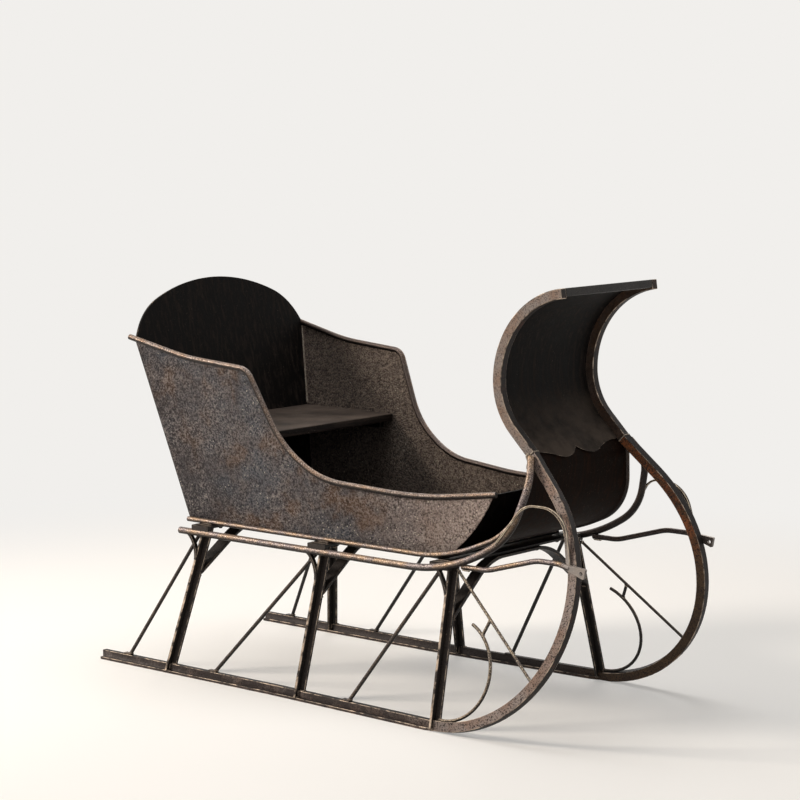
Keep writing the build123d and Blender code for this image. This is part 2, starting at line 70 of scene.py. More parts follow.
# Studio: one large soft key from behind the near side, weak fill, a top and a back lamp
studio = {
    "lamps": {
        "key": {"place": (-2.2, -2.0, 2.0), "sizeM": 0.9, "watts": 96, "colour": "#fff5ea"},
        "top": {"place": (-0.3, 0.2, 2.9), "sizeM": 1.6, "watts": 36, "colour": "#ffffff"},
        "fill": {"place": (2.6, -1.6, 1.2), "sizeM": 1.6, "watts": 7, "colour": "#eef2ff"},
        "back": {"place": (-1.2, 2.5, 1.8), "sizeM": 1.4, "watts": 14, "colour": "#fff6ec"},
    },
    "aim": (0, 0, 0.3),
    "ambient": "#9c9a98",
    "ambientStrength": 0.36,
    "backdrop": "#f1efec",
    "floor": "#dcd9d4",
    "floorGlow": 0.34,
    "floorRadiusM": 12,
    "floorSegments": 96,
    "fadeStartM": 0.75,
    "fadeEndM": 1.9,
}


mixColours = {"data_type": "RGBA"}  # settings that several nodes share
smoothly = {"interpolation_type": "SMOOTHSTEP"}


def linear(hexColour):
    # sRGB hex to linear, with alpha
    channels = [int(hexColour[i:i + 2], 16) / 255 for i in (1, 3, 5)]
    return tuple(c / 12.92 if c <= 0.04045 else ((c + 0.055) / 1.055) ** 2.4 for c in channels) + (1.0,)


def addNode(tree, kind, settings=None, inputs=None):
    # one node with its settings, then each input linked to a socket, or set to a hex colour or a value
    node = tree.nodes.new(kind)
    for key, value in (settings or {}).items():
        setattr(node, key, value)
    for key, value in (inputs or {}).items():
        if isinstance(value, bpy.types.NodeSocket):
            tree.links.new(value, node.inputs[key])
        else:
            node.inputs[key].default_value = linear(value) if isinstance(value, str) else value
    return node


def seenRay(tree):
    # 1 where the camera, a reflection or glass looks straight at the stage
    path = addNode(tree, "ShaderNodeLightPath")
    either = addNode(tree, "ShaderNodeMath", {"operation": "MAXIMUM"},
                     {0: path.outputs["Is Camera Ray"], 1: path.outputs["Is Glossy Ray"]})
    return addNode(tree, "ShaderNodeMath", {"operation": "MAXIMUM"},
                   {0: either.outputs[0], 1: path.outputs["Is Transmission Ray"]}).outputs[0]


def addLamps(settings):
    for name, lampSettings in settings["lamps"].items():
        lamp = bpy.data.lights.new(name, "AREA")
        lamp.shape = "SQUARE"
        lamp.size = lampSettings["sizeM"]
        lamp.energy = lampSettings["watts"]
        lamp.color = linear(lampSettings["colour"])[:3]
        holder = bpy.data.objects.new(name, lamp)
        holder.location = lampSettings["place"]
        towards = Vector(settings["aim"]) - Vector(lampSettings["place"])
        holder.rotation_euler = towards.to_track_quat("-Z", "Y").to_euler()
        bpy.context.scene.collection.objects.link(holder)


def addWorld(settings):
    world = bpy.data.worlds.new("studioWorld")
    world.use_nodes = True
    tree = world.node_tree
    tree.nodes.clear()
    ambient = addNode(tree, "ShaderNodeBackground", None,
                      {"Color": settings["ambient"], "Strength": settings["ambientStrength"]})
    backdrop = addNode(tree, "ShaderNodeBackground", None,
                       {"Color": settings["backdrop"], "Strength": 1.0})
    mix = addNode(tree, "ShaderNodeMixShader", None,
                  {0: seenRay(tree), 1: ambient.outputs[0], 2: backdrop.outputs[0]})
    addNode(tree, "ShaderNodeOutputWorld", None, {"Surface": mix.outputs[0]})
    bpy.context.scene.world = world


def addFloor(settings):
    mesh = bpy.data.meshes.new("floor")
    bm = bmesh.new()
    bmesh.ops.create_circle(bm, cap_ends=True, radius=settings["floorRadiusM"],
                            segments=settings["floorSegments"])
    bm.to_mesh(mesh)
    bm.free()
    floor = bpy.data.objects.new("floor", mesh)
    bpy.context.scene.collection.objects.link(floor)

    # Pale floor: keeps the shadow near the sleigh, fades into the backdrop's own colour far off
    material = bpy.data.materials.new("paleFloor")
    material.use_nodes = True
    tree = material.node_tree
    tree.nodes.clear()
    place = addNode(tree, "ShaderNodeTexCoord").outputs["Object"]
    distance = addNode(tree, "ShaderNodeVectorMath", {"operation": "LENGTH"}, {0: place})
    fade = addNode(tree, "ShaderNodeMapRange", smoothly,
                   {"Value": distance.outputs["Value"], "From Min": settings["fadeStartM"],
                    "From Max": settings["fadeEndM"]})
    matt = addNode(tree, "ShaderNodeBsdfDiffuse", None, {"Color": settings["floor"]})
    lift = addNode(tree, "ShaderNodeEmission", None,
                   {"Color": settings["backdrop"], "Strength": settings["floorGlow"]})
    lifted = addNode(tree, "ShaderNodeAddShader", None, {0: matt.outputs[0], 1: lift.outputs[0]})
    glow = addNode(tree, "ShaderNodeEmission", None, {"Color": settings["backdrop"], "Strength": 1.0})
    seen = addNode(tree, "ShaderNodeMixShader", None,
                   {0: fade.outputs["Result"], 1: lifted.outputs[0], 2: glow.outputs[0]})
    mix = addNode(tree, "ShaderNodeMixShader", None,
                  {0: seenRay(tree), 1: matt.outputs[0], 2: seen.outputs[0]})
    addNode(tree, "ShaderNodeOutputMaterial", None, {"Surface": mix.outputs[0]})
    mesh.materials.append(material)


addCamera(cameraSettings)
addLamps(studio)
addWorld(studio)
addFloor(studio)
bpy.context.scene.view_settings.view_transform = "Standard"
print("camera and studio set")


# Shared steps of the iron materials
def perMetre(millimetres):
    # noise scale whose blobs are about this wide
    return 1000.0 / millimetres


def newMaterial(looks, noises):
    # an empty material, its object coordinates and its noises: each one's detail and roughness, with
    # blobs as wide as the looks say in mm
    material = bpy.data.materials.new(looks["name"])
    material.use_nodes = True
    tree = material.node_tree
    tree.nodes.clear()
    place = addNode(tree, "ShaderNodeTexCoord").outputs["Object"]
    pattern = {"place": place}
    for key, (detail, roughness) in noises.items():
        noise = addNode(tree, "ShaderNodeTexNoise", None,
                        {"Vector": place, "Scale": perMetre(looks[key + "Mm"]), "Detail": detail,
                         "Roughness": roughness})
        pattern[key] = noise.outputs["Fac"]
    return material, tree, pattern


def facing(tree):
    # how far a face looks away from the sleigh's middle plane (1 outer, -1 inner) and up, and where it is
    geometry = addNode(tree, "ShaderNodeNewGeometry")
    look = addNode(tree, "ShaderNodeSeparateXYZ", None, {0: geometry.outputs["Normal"]})
    place = addNode(tree, "ShaderNodeSeparateXYZ", None, {0: geometry.outputs["Position"]})
    side = addNode(tree, "ShaderNodeMath", {"operation": "SIGN"}, {0: place.outputs["Y"]})
    outward = addNode(tree, "ShaderNodeMath", {"operation": "MULTIPLY"},
                      {0: look.outputs["Y"], 1: side.outputs[0]})
    return {"outward": outward.outputs[0], "up": look.outputs["Z"],
            "x": place.outputs["X"], "height": place.outputs["Z"]}


def layOver(tree, base, colour, where, start, full, share=1.0, settings=None):
    # a colour laid over the base: none where the pattern is at start, its whole share at full
    amount = addNode(tree, "ShaderNodeMapRange", settings,
                     {"Value": where, "From Min": start, "From Max": full, "To Max": share})
    return addNode(tree, "ShaderNodeMix", mixColours,
                   {0: amount.outputs[0], 6: base, 7: colour}).outputs[2]


def closeMaterial(tree, base, metallic, roughness, specular, normal):
    # the iron's shader and the material's output
    iron = addNode(tree, "ShaderNodeBsdfPrincipled", None,
                   {"Base Color": base, "Metallic": metallic, "Roughness": roughness,
                    "Specular IOR Level": specular, "Normal": normal.outputs[0]})
    addNode(tree, "ShaderNodeOutputMaterial", None, {"Surface": iron.outputs[0]})


# Sheet iron cast with a sandy skin, browned and rubbed: pebbled, pale on the grain tops, dark in the
# pits; the faces inside the tub are darker, which is painted shade
sheetLooks = {
    "name": "grainedSheetIron", "pit": "#141010", "skin": "#564b48", "cool": "#51555d",
    "warm": "#6b4f3a", "brown": "#b7a297", "rear": "#2e2527", "rubbed": "#aea39d",
    "rubbedForward": "#f7e8dd", "inside": "#6c5e54", "insideRubbed": "#b3a292", "speck": "#f7ecd6",
    "grainMm": 3.0, "clusterMm": 8, "cloudMm": 75, "tintMm": 60, "speckMm": 6, "clusterShare": 0.22,
}


def grainedSheetIron(looks):
    material, tree, pattern = newMaterial(looks, {
        "grain": (3.0, 0.7), "cluster": (2.0, 0.55), "cloud": (3.0, 0.6), "tint": (3.0, 0.6)})
    face = facing(tree)
    height = addNode(tree, "ShaderNodeMix", None,
                     {0: looks["clusterShare"], 2: pattern["grain"], 3: pattern["cluster"]}).outputs[0]

    # outside: cool grey and warm brown clouds over brown-grey, browner forward, darker at the low
    # rear corner as painted shade
    outer = layOver(tree, looks["skin"], looks["cool"], pattern["tint"], start=0.4, full=0.65)
    outer = layOver(tree, outer, looks["warm"], pattern["tint"], start=0.46, full=0.34, share=0.8)
    forward = addNode(tree, "ShaderNodeMapRange", None,
                      {"Value": face["x"], "From Min": 0.02, "From Max": 0.24, "To Max": 0.95})
    outer = addNode(tree, "ShaderNodeMix", mixColours,
                    {0: forward.outputs[0], 6: outer, 7: looks["brown"]}).outputs[2]
    rearward = addNode(tree, "ShaderNodeMath", {"operation": "MULTIPLY_ADD"},
                       {0: face["height"], 1: 0.5, 2: face["x"]})
    outer = layOver(tree, outer, looks["rear"], rearward.outputs[0], start=0.02, full=-0.2, share=0.75,
                    settings=smoothly)
    worn = addNode(tree, "ShaderNodeMapRange", None,
                   {"Value": pattern["cloud"], "From Min": 0.38, "From Max": 0.62, "To Min": 0.35})
    rubbed = addNode(tree, "ShaderNodeMix", mixColours,
                     {0: forward.outputs[0], 6: looks["rubbed"], 7: looks["rubbedForward"]}).outputs[2]
    outer = layOver(tree, outer, rubbed, height, start=0.46, full=0.7, share=worn.outputs[0])

    # inside: dark brown with painted shade, its grain tops less rubbed
    inner = layOver(tree, looks["inside"], looks["insideRubbed"], height, start=0.46, full=0.7,
                    share=worn.outputs[0])
    base = layOver(tree, inner, outer, face["outward"], start=-0.2, full=0.2)

    # a few bare specks on both faces, more of them forward, and the pits over all
    forwardTint = addNode(tree, "ShaderNodeMath", {"operation": "MULTIPLY_ADD"},
                          {0: face["x"], 1: 0.4, 2: pattern["tint"]})
    rare = addNode(tree, "ShaderNodeMapRange", None,
                   {"Value": forwardTint.outputs[0], "From Min": 0.46, "From Max": 0.58})
    speck = addNode(tree, "ShaderNodeTexVoronoi", None,
                    {"Vector": pattern["place"], "Scale": perMetre(looks["speckMm"]), "Randomness": 1.0})
    base = layOver(tree, base, looks["speck"], speck.outputs["Distance"], start=0.2, full=0.1,
                   share=rare.outputs[0])
    base = layOver(tree, base, looks["pit"], height, start=0.52, full=0.34, share=0.88)
    relief = addNode(tree, "ShaderNodeBump", None, {"Height": height, "Strength": 1.0, "Distance": 0.008})
    sheen = addNode(tree, "ShaderNodeMapRange", None,
                    {"Value": height, "From Min": 0.35, "From Max": 0.7, "To Min": 0.75, "To Max": 0.5})
    closeMaterial(tree, base, metallic=0.1, roughness=sheen.outputs[0], specular=0.3, normal=relief)
    return material


# Sheet steel, oil blackened by hand: deep satin black, faint brown streaks along the sheet, and dust
# where it can lie
blackLooks = {
    "name": "blackenedSheetSteel", "black": "#0c0a09", "streak": "#2f2824", "dust": "#75675b",
    "fleck": "#5d5148", "dustLow": 0.0, "dustHigh": 0.3, "dustShare": 0.0, "specular": 0.07,
    "streakMm": 7, "streakLengthMm": 90, "cloudMm": 45, "grainMm": 1.8, "dentMm": 1.2, "drawnAxis": 2,
}
dashLooks = {**blackLooks, "name": "dustedSheetSteel", "dustLow": 0.39, "dustHigh": 0.5,
             "dustShare": 0.85}
lowerDashLooks = {**blackLooks, "name": "oiledSheetSteel", "black": "#120a06", "streak": "#2a1a12",
                  "specular": 0.03}
# painted light: on the seat the dust colour lies over the whole top, while the front face, which looks
# forward, stays black as painted shade
seatLooks = {**blackLooks, "name": "rubbedSeatSteel", "black": "#1b1512", "streak": "#4e433c",
             "fleck": "#8d8075", "specular": 0.1, "dentMm": 0.3, "drawnAxis": 1, "cloudMm": 75,
             "dust": "#544941", "dustLow": 0.5, "dustHigh": 0.6, "dustShare": 0.85}


def blackenedSheetSteel(looks):
    material, tree, pattern = newMaterial(looks, {"cloud": (4.0, 0.6), "grain": (2.0, 0.5)})
    face = facing(tree)
    stretch = [1.0, 1.0, 1.0]
    stretch[looks["drawnAxis"]] = looks["streakMm"] / looks["streakLengthMm"]
    drawn = addNode(tree, "ShaderNodeMapping", None, {"Vector": pattern["place"], "Scale": stretch})
    streak = addNode(tree, "ShaderNodeTexNoise", None,
                     {"Vector": drawn.outputs[0], "Scale": perMetre(looks["streakMm"]), "Detail": 4.0,
                      "Roughness": 0.65}).outputs["Fac"]
    base = layOver(tree, looks["black"], looks["streak"], streak, start=0.48, full=0.7, share=0.85)

    # dust lies in clouds where the sheet looks upward, from the hem to a set height; on the seat's top it
    # stands for painted light
    low = addNode(tree, "ShaderNodeMapRange", smoothly,
                  {"Value": face["height"], "From Min": looks["dustHigh"], "From Max": looks["dustLow"],
                   "To Max": looks["dustShare"]})
    cloudy = addNode(tree, "ShaderNodeMapRange", None,
                     {"Value": pattern["cloud"], "From Min": 0.35, "From Max": 0.6, "To Min": 0.2})
    dusty = addNode(tree, "ShaderNodeMath", {"operation": "MULTIPLY"},
                    {0: low.outputs[0], 1: cloudy.outputs[0]})
    base = layOver(tree, base, looks["dust"], face["up"], start=0.05, full=0.45, share=dusty.outputs[0])
    base = layOver(tree, base, looks["fleck"], pattern["grain"], start=0.66, full=0.76,
                   share=cloudy.outputs[0])
    fine = addNode(tree, "ShaderNodeBump", None,
                   {"Height": pattern["grain"], "Strength": 0.3, "Distance": 0.0003})
    dents = addNode(tree, "ShaderNodeBump", None,
                    {"Height": pattern["cloud"], "Strength": 0.4, "Distance": looks["dentMm"] / 1000,
                     "Normal": fine.outputs[0]})
    sheen = addNode(tree, "ShaderNodeMapRange", None,
                    {"Value": streak, "From Min": 0.35, "From Max": 0.7, "To Min": 0.55, "To Max": 0.7})
    closeMaterial(tree, base, metallic=0.0, roughness=sheen.outputs[0], specular=looks["specular"],
                  normal=dents)
    return material


# Round iron rod, hot rolled and browned: mauve-grey skin finely speckled, bronze where rubbed on top;
# painted shade makes it nearly black underneath and on the side that faces the middle of the sleigh
rodLooks = {
    "name": "brownedIronRod", "pit": "#332a28", "skin": "#786c6c", "bronze": "#9a7e62", "pale": "#eadccb",
    "shade": "#130f0e", "inner": "#3a2f2b", "tip": "#b9b0a9", "tipFrom": 0.434, "underFrom": 0.15,
    "paleShare": 0.55, "metallic": 0.5, "speckleMm": 1.7, "cloudMm": 30, "scratchMm": 1.1,
}
stayLooks = {**rodLooks, "name": "blackIronStay", "pit": "#15110f", "skin": "#3b312d",
             "bronze": "#54463b", "pale": "#a89680", "shade": "#0f0c0b", "inner": "#1a1513",
             "paleShare": 0.3, "metallic": 0.2}
creamLooks = {**rodLooks, "name": "rubbedIronWire", "skin": "#74665a", "bronze": "#97836b",
              "pale": "#f0e1c8", "inner": "#2a211c", "paleShare": 0.8, "metallic": 0.3, "underFrom": 0.4}
rimLooks = {**rodLooks, "name": "bronzedIronRim", "skin": "#776860", "bronze": "#8f735d",
            "paleShare": 0.45, "underFrom": 0.35}
loopLooks = {**rodLooks, "name": "rubbedIronStrap", "skin": "#3f352f", "bronze": "#544437",
             "inner": "#2b221e", "paleShare": 0.5, "metallic": 0.3}


def brownedIronRod(looks):
    material, tree, pattern = newMaterial(looks, {
        "speckle": (3.0, 0.62), "cloud": (4.0, 0.6), "scratch": (1.0, 0.5)})
    face = facing(tree)
    base = layOver(tree, looks["skin"], looks["bronze"], pattern["cloud"], start=0.42, full=0.62)
    base = layOver(tree, base, looks["pale"], pattern["speckle"], start=0.54, full=0.64,
                   share=looks["paleShare"])
    base = layOver(tree, base, looks["pit"], pattern["speckle"], start=0.48, full=0.4)

    # the hammered tip of a shaft iron is paler, with few dark pits
    base = layOver(tree, base, looks["tip"], face["x"], start=looks["tipFrom"],
                   full=looks["tipFrom"] + 0.01, share=0.75)

    # painted shade on the faces that look to the middle of the sleigh, and on those that look down
    base = layOver(tree, base, looks["inner"], face["outward"], start=0.1, full=-0.5, share=0.85)
    base = layOver(tree, base, looks["shade"], face["up"], start=looks["underFrom"],
                   full=looks["underFrom"] - 0.55, share=0.94)
    fine = addNode(tree, "ShaderNodeBump", None,
                   {"Height": pattern["speckle"], "Strength": 0.7, "Distance": 0.0007})
    dents = addNode(tree, "ShaderNodeBump", None,
                    {"Height": pattern["cloud"], "Strength": 0.5, "Distance": 0.0016,
                     "Normal": fine.outputs[0]})
    sheen = addNode(tree, "ShaderNodeMapRange", None,
                    {"Value": pattern["scratch"], "From Min": 0.35, "From Max": 0.65,
                     "To Min": 0.55, "To Max": 0.32})
    closeMaterial(tree, base, metallic=looks["metallic"], roughness=sheen.outputs[0], specular=0.4,
                  normal=dents)
    return material


# Flat iron bar, mill scale rubbed off the outer face: pale and pitted there, the paleness partly painted
# light; nearly black on the faces that look forward, which is painted shade; rust-brown on the face that
# looks inward; the straight run on the floor stays dark
barLooks = {
    "name": "wornIronBar", "outer": "#8f827b", "outerWarm": "#866e60", "front": "#16110f",
    "edgeBrown": "#46291c", "straight": "#38302d", "sweptFrom": 0.14, "sweptTo": 0.32,
    "inner": "#59442f", "rust": "#b0653a", "rustHeight": 0.2, "rustShare": 0.9,
    "pit": "#2a2220", "pitShare": 1.0, "pitMm": 2.3, "cloudMm": 40, "rustMm": 24,
}
railLooks = {**barLooks, "name": "palerIronBar", "outer": "#8b8079", "outerWarm": "#8a7262",
             "straight": "#8b8079", "inner": "#5d5047", "rust": "#5d4330", "pit": "#3f3530",
             "pitShare": 0.8}


def wornIronBar(looks):
    material, tree, pattern = newMaterial(looks, {
        "pit": (3.0, 0.62), "cloud": (4.0, 0.6), "rust": (5.0, 0.65)})
    face = facing(tree)
    swept = addNode(tree, "ShaderNodeMapRange", smoothly,
                    {"Value": face["x"], "From Min": looks["sweptFrom"], "From Max": looks["sweptTo"]})
    outer = layOver(tree, looks["outer"], looks["outerWarm"], pattern["cloud"], start=0.4, full=0.62)
    straight = layOver(tree, looks["straight"], outer, pattern["rust"], start=0.48, full=0.68, share=0.45)
    outer = addNode(tree, "ShaderNodeMix", mixColours,
                    {0: swept.outputs[0], 6: straight, 7: outer}).outputs[2]

    # the inward face rusts in patches from a set height upward
    inner = addNode(tree, "ShaderNodeMix", mixColours,
                    {0: swept.outputs[0], 6: looks["straight"], 7: looks["inner"]}).outputs[2]
    patchy = addNode(tree, "ShaderNodeMapRange", None,
                     {"Value": pattern["rust"], "From Min": 0.38, "From Max": 0.6,
                      "To Min": 0.15 * looks["rustShare"], "To Max": looks["rustShare"]})
    inner = layOver(tree, inner, looks["rust"], face["height"], start=looks["rustHeight"],
                    full=looks["rustHeight"] + 0.12, share=patchy.outputs[0], settings=smoothly)
    inner = layOver(tree, inner, looks["front"], pattern["cloud"], start=0.56, full=0.36, share=0.45)
    front = layOver(tree, looks["front"], looks["edgeBrown"], pattern["rust"], start=0.55, full=0.7,
                    share=0.7)

    # each face by where it looks, the outward one lightened with painted light and the forward ones
    # darkened with painted shade, then the pits over all three
    base = layOver(tree, front, inner, face["outward"], start=-0.35, full=-0.65)
    base = layOver(tree, base, outer, face["outward"], start=0.35, full=0.65)
    base = layOver(tree, base, looks["pit"], pattern["pit"], start=0.49, full=0.39,
                   share=looks["pitShare"])
    fine = addNode(tree, "ShaderNodeBump", None,
                   {"Height": pattern["pit"], "Strength": 0.7, "Distance": 0.0008})
    dents = addNode(tree, "ShaderNodeBump", None,
                    {"Height": pattern["cloud"], "Strength": 0.4, "Distance": 0.0015,
                     "Normal": fine.outputs[0]})
    sheen = addNode(tree, "ShaderNodeMapRange", None,
                    {"Value": pattern["pit"], "From Min": 0.3, "From Max": 0.65,
                     "To Min": 0.72, "To Max": 0.5})
    closeMaterial(tree, base, metallic=0.2, roughness=sheen.outputs[0], specular=0.3, normal=dents)
    return material


# T-iron and flat iron of the running gear, blacked with stove polish: thin and chipped, grey in clouds
# and greyer outside, the outside greying painted light
teeLooks = {
    "name": "stovedTeeIron", "black": "#171310", "grey": "#322b27", "chip": "#8f8172", "pit": "#0c0a09",
    "pitMm": 2.0, "cloudMm": 34, "chipMm": 4.0,
}


def stovedTeeIron(looks):
    material, tree, pattern = newMaterial(looks, {
        "pit": (3.0, 0.62), "cloud": (4.0, 0.6), "chip": (4.0, 0.7)})
    face = facing(tree)
    # painted light: faces that look outward are greyed, on top of the grey clouds
    greying = addNode(tree, "ShaderNodeMath", {"operation": "MULTIPLY_ADD", "use_clamp": True},
                      {0: face["outward"], 1: 0.5, 2: pattern["cloud"]})
    base = layOver(tree, looks["black"], looks["grey"], greying.outputs[0], start=0.4, full=0.9)
    base = layOver(tree, base, looks["chip"], pattern["chip"], start=0.66, full=0.74, share=0.8)
    base = layOver(tree, base, looks["pit"], pattern["pit"], start=0.46, full=0.36, share=0.9)
    relief = addNode(tree, "ShaderNodeBump", None,
                     {"Height": pattern["pit"], "Strength": 0.6, "Distance": 0.0007})
    sheen = addNode(tree, "ShaderNodeMapRange", None,
                    {"Value": pattern["pit"], "From Min": 0.3, "From Max": 0.65,
                     "To Min": 0.6, "To Max": 0.42})
    closeMaterial(tree, base, metallic=0.1, roughness=sheen.outputs[0], specular=0.3, normal=relief)
    return material


# Arris rubbed down to bare iron by handling, in runs: bright cream-grey between darker lengths
arrisLooks = {"name": "bareIronArris", "bare": "#cdb8a3", "dull": "#2f2722", "low": 0.42, "high": 0.64,
              "runMm": 16, "grainMm": 1.5}
strapArrisLooks = {**arrisLooks, "name": "polishedStrapArris", "bare": "#e6d6bb", "dull": "#94826d",
                   "low": 0.36, "high": 0.56}
sheetArrisLooks = {**arrisLooks, "name": "brownedSheetEdge", "bare": "#7d6a58", "dull": "#1a1412",
                   "low": 0.46, "high": 0.68}


def bareIronArris(looks):
    material, tree, pattern = newMaterial(looks, {"run": (4.0, 0.65), "grain": (2.0, 0.5)})
    base = layOver(tree, looks["dull"], looks["bare"], pattern["run"], start=looks["low"],
                   full=looks["high"])
    relief = addNode(tree, "ShaderNodeBump", None,
                     {"Height": pattern["grain"], "Strength": 0.5, "Distance": 0.0004})
    closeMaterial(tree, base, metallic=0.4, roughness=0.45, specular=0.4, normal=relief)
    return material


# Arc-weld metal under the same wash: dark scale with ripples rubbed light on their crests
weldLooks = {"name": "darkWeldMetal", "dark": "#2b2320", "light": "#8f8071", "rippleMm": 1.6}
paleWeldLooks = {**weldLooks, "name": "paleWeldMetal", "dark": "#4b3f38", "light": "#c9bba9"}


def weldMetal(looks):
    material, tree, pattern = newMaterial(looks, {"ripple": (3.0, 0.6)})
    crest = addNode(tree, "ShaderNodeNewGeometry").outputs["Pointiness"]
    patchy = addNode(tree, "ShaderNodeMapRange", None,
                     {"Value": pattern["ripple"], "From Min": 0.4, "From Max": 0.6, "To Min": 0.2})
    base = layOver(tree, looks["dark"], looks["light"], crest, start=0.47, full=0.56,
                   share=patchy.outputs[0])
    relief = addNode(tree, "ShaderNodeBump", None,
                     {"Height": pattern["ripple"], "Strength": 0.6, "Distance": 0.0006})
    closeMaterial(tree, base, metallic=0.3, roughness=0.55, specular=0.35, normal=relief)
    return material


grainedSheet = grainedSheetIron(sheetLooks)
blackSheet = blackenedSheetSteel(blackLooks)
dashSheet = blackenedSheetSteel(dashLooks)
lowerDashSheet = blackenedSheetSteel(lowerDashLooks)
seatSheet = blackenedSheetSteel(seatLooks)
brownRod = brownedIronRod(rodLooks)
blackStay = brownedIronRod(stayLooks)
rubbedWire = brownedIronRod(creamLooks)
rubbedStrap = brownedIronRod(loopLooks)
bronzedRim = brownedIronRod(rimLooks)
runnerBar = wornIronBar(barLooks)
railBar = wornIronBar(railLooks)
teeIron = stovedTeeIron(teeLooks)
ironArris = bareIronArris(arrisLooks)
sheetArris = bareIronArris(sheetArrisLooks)
strapArris = bareIronArris(strapArrisLooks)
darkWeld = weldMetal(weldLooks)
paleWeld = weldMetal(paleWeldLooks)
print("materials made")


# Every CAD node is worn: a copy with its sound convex arrises rounded, and those rounds rubbed bare
wear = {
    "mergeMm": 0.002,
    "flatDegrees": 0.6,  # facets that meet flatter than this become one face
    "sharpDegrees": 32,  # edges that turn more than this are arrises
    "shortMm": 1.3,  # no round runs into an edge shorter than this
    "segments": 2,
    "outward": 0.7,  # how squarely a narrow edge face looks outward to take the bare arris colour as painted light
    "smoothDegrees": 34,
}
eachBent = ["_rear", "_mid", "_front"]


def onBothSides(endings=("",)):
    return [ending + side for ending in endings for side in ("_left", "_right")]


wornPieces = [
    # node stem, its endings, body material, arris material, arris width in mm
    ("side", onBothSides(), grainedSheet, sheetArris, 0.35),
    ("rim", onBothSides(), bronzedRim, ironArris, 0.8),
    ("back_panel", [""], blackSheet, sheetArris, 0.7),
    ("dash_sheet", [""], dashSheet, ironArris, 0.5),
    ("dash_lower_sheet", [""], lowerDashSheet, sheetArris, 0.4),
    ("dash_lip", [""], teeIron, teeIron, 1.2),
    ("toe_board", [""], blackSheet, sheetArris, 0.4),
    ("tub_floor", [""], blackSheet, sheetArris, 0.6),
    ("seat_pan", [""], seatSheet, seatSheet, 1.6),
    ("seat_cleat", onBothSides(), teeIron, sheetArris, 0.7),
    ("runner", onBothSides(), runnerBar, ironArris, 0.8),
    ("dash_rail", onBothSides(), railBar, ironArris, 1.1),
    ("sill_upper", onBothSides(), brownRod, ironArris, 0.8),
    ("sill_lower", onBothSides(), brownRod, ironArris, 0.9),
    ("cross_beam", eachBent, teeIron, sheetArris, 0.7),
    ("bow_brace", eachBent, teeIron, sheetArris, 0.9),
    ("post", onBothSides(eachBent), teeIron, ironArris, 0.6),
    ("stay", onBothSides(["_rear", "_second", "_third"]), blackStay, sheetArris, 0.6),
    ("stay_front", onBothSides(), rubbedWire, ironArris, 0.5),
    ("scroll", onBothSides(), rubbedWire, ironArris, 0.5),
    ("fender_loop", onBothSides(), rubbedStrap, strapArris, 0.9),
    ("shaft_iron", onBothSides(), brownRod, ironArris, 0.9),
]
# the posts' flange edges that look outward are narrower than this, and painted light gives them the bare
# arris colour over their whole width
paintedLightEdgeMm = {"post": 4.2}


def applyModifiers(piece):
    # the mesh with the modifiers worked in takes the old one's place
    old = piece.data
    depsgraph = bpy.context.evaluated_depsgraph_get()
    mesh = bpy.data.meshes.new_from_object(piece.evaluated_get(depsgraph))
    piece.modifiers.clear()
    piece.data = mesh
    bpy.data.meshes.remove(old)
    mesh.name = piece.name


def shadeRound(mesh, sharpDegrees):
    mesh.polygons.foreach_set("use_smooth", [True] * len(mesh.polygons))
    mesh.set_sharp_from_angle(angle=math.radians(sharpDegrees))


def wornCopy(name, body, arris, arrisMm, edgeMm):
    mesh = nodes[name].data.copy()
    mesh.name = name + "_worn"
    mesh.materials.clear()
    mesh.materials.append(body)
    mesh.materials.append(arris)  # index 1
    bm = bmesh.new()
    bm.from_mesh(mesh)
    bmesh.ops.remove_doubles(bm, verts=bm.verts, dist=wear["mergeMm"] / 1000)
    bmesh.ops.dissolve_limit(bm, angle_limit=math.radians(wear["flatDegrees"]), verts=bm.verts,
                             edges=bm.edges)
    side = 1 if name.endswith("_left") else -1
    for face in bm.faces:
        breadth = face.calc_area() / max(edge.calc_length() for edge in face.edges)
        # painted light: a narrow face that looks outward takes the bare arris colour
        rubbed = breadth < edgeMm / 1000 and face.normal.y * side > wear["outward"]
        face.material_index = 1 if rubbed else 0

    # arrises that end at a very short edge stay sharp, because a round would fold over there
    weight = bm.edges.layers.float.new("bevel_weight_edge")
    shortest = wear["shortMm"] / 1000
    short = {vert for edge in bm.edges if edge.calc_length() < shortest for vert in edge.verts}
    for edge in bm.edges:
        sound = len(edge.link_faces) == 2 and not short.intersection(edge.verts)
        if sound and edge.calc_face_angle_signed() > math.radians(wear["sharpDegrees"]):
            edge[weight] = 1.0
    bm.to_mesh(mesh)
    bm.free()
    piece = bpy.data.objects.new(name + "_worn", mesh)
    bpy.context.scene.collection.objects.link(piece)
    bevel = piece.modifiers.new("arris", "BEVEL")
    bevel.limit_method = "WEIGHT"
    bevel.width = arrisMm / 1000
    bevel.segments = wear["segments"]
    bevel.material = 1
    bevel.use_clamp_overlap = False
    applyModifiers(piece)
    shadeRound(piece.data, wear["smoothDegrees"])

    # flat faces keep their own direction, so only the rounds shade round
    flatten = piece.modifiers.new("flatten", "WEIGHTED_NORMAL")
    flatten.keep_sharp = True
    applyModifiers(piece)
    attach(piece, "root")
    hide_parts(name)


for stem, endings, body, arris, arrisMm in wornPieces:
    for ending in endings:
        wornCopy(stem + ending, body, arris, arrisMm, paintedLightEdgeMm.get(stem, 0))
print("worn copies made")


